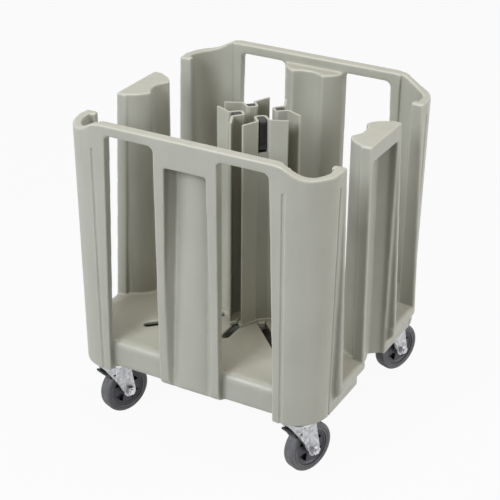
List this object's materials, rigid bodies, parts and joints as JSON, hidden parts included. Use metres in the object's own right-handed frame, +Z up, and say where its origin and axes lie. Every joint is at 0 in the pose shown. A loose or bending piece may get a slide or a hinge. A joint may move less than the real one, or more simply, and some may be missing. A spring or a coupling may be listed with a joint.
{
  "type": "dish caddy",
  "caption": "Moulded dish caddy with open stacking wells, sliding divider towers and swivel casters.",
  "frame": {"origin": "on the floor, in the middle of the overall box, rear wheels included", "axes": "+X right along the front face, +Y from the front towards the back, +Z up"},
  "size_m": [0.6912, 0.6804, 0.8105],
  "materials": {
    "body_plastic": "satin",
    "tower_plastic": "satin",
    "black_plastic": "satin",
    "zinc_steel": "zinc plated",
    "bright_steel": "bright",
    "bearing_steel": "polished",
    "wheel_plastic": "satin",
    "tyre_rubber": "matte"
  },
  "bodies": {
    "caddy_body": {"base_tray": "body_plastic", "side_post_left": "body_plastic", "side_post_right": "body_plastic", "centre_column_front": "body_plastic", "centre_column_back": "body_plastic", "top_rail_front": "body_plastic", "top_rail_back": "body_plastic", "corner_column_front_left": "body_plastic", "corner_column_front_right": "body_plastic", "corner_column_back_left": "body_plastic", "corner_column_back_right": "body_plastic", "caster_plate_front_left": "zinc_steel", "caster_plate_front_right": "zinc_steel", "caster_plate_back_left": "zinc_steel", "caster_plate_back_right": "zinc_steel", "swivel_kingpins": "zinc_steel", "swivel_balls": "bearing_steel", "caster_bolts": "zinc_steel"},
    "caster_front_left": {"caster_fork_front_left": "zinc_steel", "axle_bolt_front_left": "bright_steel"},
    "wheel_front_left": {"wheel_core_front_left": "wheel_plastic", "tyre_front_left": "tyre_rubber"},
    "brake_front_left": {"brake_pedal_front_left": "black_plastic"},
    "caster_front_right": {"caster_fork_front_right": "zinc_steel", "axle_bolt_front_right": "bright_steel"},
    "wheel_front_right": {"wheel_core_front_right": "wheel_plastic", "tyre_front_right": "tyre_rubber"},
    "brake_front_right": {"brake_pedal_front_right": "black_plastic"},
    "caster_back_left": {"caster_fork_back_left": "zinc_steel", "axle_bolt_back_left": "bright_steel"},
    "wheel_back_left": {"wheel_core_back_left": "wheel_plastic", "tyre_back_left": "tyre_rubber"},
    "caster_back_right": {"caster_fork_back_right": "zinc_steel", "axle_bolt_back_right": "bright_steel"},
    "wheel_back_right": {"wheel_core_back_right": "wheel_plastic", "tyre_back_right": "tyre_rubber"},
    "tower_back_right": {"tower_upright_back_right": "tower_plastic", "tower_foot_back_right": "tower_plastic"},
    "release_back_right": {"release_handle_back_right": "black_plastic", "lock_rod_back_right": "zinc_steel", "lock_spring_back_right": "bearing_steel", "clamp_plate_back_right": "zinc_steel"},
    "tower_back_left": {"tower_upright_back_left": "tower_plastic", "tower_foot_back_left": "tower_plastic"},
    "release_back_left": {"release_handle_back_left": "black_plastic", "lock_rod_back_left": "zinc_steel", "lock_spring_back_left": "bearing_steel", "clamp_plate_back_left": "zinc_steel"},
    "tower_front_left": {"tower_upright_front_left": "tower_plastic", "tower_foot_front_left": "tower_plastic"},
    "release_front_left": {"release_handle_front_left": "black_plastic", "lock_rod_front_left": "zinc_steel", "lock_spring_front_left": "bearing_steel", "clamp_plate_front_left": "zinc_steel"},
    "tower_front_right": {"tower_upright_front_right": "tower_plastic", "tower_foot_front_right": "tower_plastic"},
    "release_front_right": {"release_handle_front_right": "black_plastic", "lock_rod_front_right": "zinc_steel", "lock_spring_front_right": "bearing_steel", "clamp_plate_front_right": "zinc_steel"}
  },
  "joints": [
    {"name": "swivel_front_left", "type": "hinge", "parent": "caddy_body", "child": "caster_front_left", "pos_m": [-0.2567, -0.27111, 0.154], "axis": [0, 0, 1], "continuous": true},
    {"name": "wheel_spin_front_left", "type": "hinge", "parent": "caster_front_left", "child": "wheel_front_left", "pos_m": [-0.24474, -0.23928, 0.0635], "axis": [0.9361, -0.3518, 0], "continuous": true},
    {"name": "brake_press_front_left", "type": "hinge", "parent": "caster_front_left", "child": "brake_front_left", "pos_m": [-0.26163, -0.28421, 0.128], "axis": [0.9361, -0.3518, 0], "range_deg": [0, 15]},
    {"name": "swivel_front_right", "type": "hinge", "parent": "caddy_body", "child": "caster_front_right", "pos_m": [0.2567, -0.27111, 0.154], "axis": [0, 0, 1], "continuous": true},
    {"name": "wheel_spin_front_right", "type": "hinge", "parent": "caster_front_right", "child": "wheel_front_right", "pos_m": [0.26866, -0.23928, 0.0635], "axis": [0.9361, -0.3518, 0], "continuous": true},
    {"name": "brake_press_front_right", "type": "hinge", "parent": "caster_front_right", "child": "brake_front_right", "pos_m": [0.25177, -0.28421, 0.128], "axis": [0.9361, -0.3518, 0], "range_deg": [0, 15]},
    {"name": "swivel_back_left", "type": "hinge", "parent": "caddy_body", "child": "caster_back_left", "pos_m": [-0.2567, 0.24549, 0.154], "axis": [0, 0, 1], "continuous": true},
    {"name": "wheel_spin_back_left", "type": "hinge", "parent": "caster_back_left", "child": "wheel_back_left", "pos_m": [-0.24474, 0.27732, 0.0635], "axis": [0.9361, -0.3518, 0], "continuous": true},
    {"name": "swivel_back_right", "type": "hinge", "parent": "caddy_body", "child": "caster_back_right", "pos_m": [0.2567, 0.24549, 0.154], "axis": [0, 0, 1], "continuous": true},
    {"name": "wheel_spin_back_right", "type": "hinge", "parent": "caster_back_right", "child": "wheel_back_right", "pos_m": [0.26866, 0.27732, 0.0635], "axis": [0.9361, -0.3518, 0], "continuous": true},
    {"name": "tower_slide_back_right", "type": "slide", "parent": "caddy_body", "child": "tower_back_right", "axis": [0.7071, 0.7071, 0], "range_m": [-0.015, 0.185]},
    {"name": "release_press_back_right", "type": "slide", "parent": "tower_back_right", "child": "release_back_right", "axis": [0, 0, -1], "range_m": [0, 0.004], "stiffness_N_per_m": 2000, "springref_m": -0.004, "deforming": ["lock_spring_back_right"]},
    {"name": "tower_slide_back_left", "type": "slide", "parent": "caddy_body", "child": "tower_back_left", "axis": [-0.7071, 0.7071, 0], "range_m": [0, 0.2]},
    {"name": "release_press_back_left", "type": "slide", "parent": "tower_back_left", "child": "release_back_left", "axis": [0, 0, -1], "range_m": [0, 0.004], "stiffness_N_per_m": 2000, "springref_m": -0.004, "deforming": ["lock_spring_back_left"]},
    {"name": "tower_slide_front_left", "type": "slide", "parent": "caddy_body", "child": "tower_front_left", "axis": [-0.7071, -0.7071, 0], "range_m": [-0.002, 0.198]},
    {"name": "release_press_front_left", "type": "slide", "parent": "tower_front_left", "child": "release_front_left", "axis": [0, 0, -1], "range_m": [0, 0.004], "stiffness_N_per_m": 2000, "springref_m": -0.004, "deforming": ["lock_spring_front_left"]},
    {"name": "tower_slide_front_right", "type": "slide", "parent": "caddy_body", "child": "tower_front_right", "axis": [0.7071, -0.7071, 0], "range_m": [0, 0.2]},
    {"name": "release_press_front_right", "type": "slide", "parent": "tower_front_right", "child": "release_front_right", "axis": [0, 0, -1], "range_m": [0, 0.004], "stiffness_N_per_m": 2000, "springref_m": -0.004, "deforming": ["lock_spring_front_right"]}
  ]
}
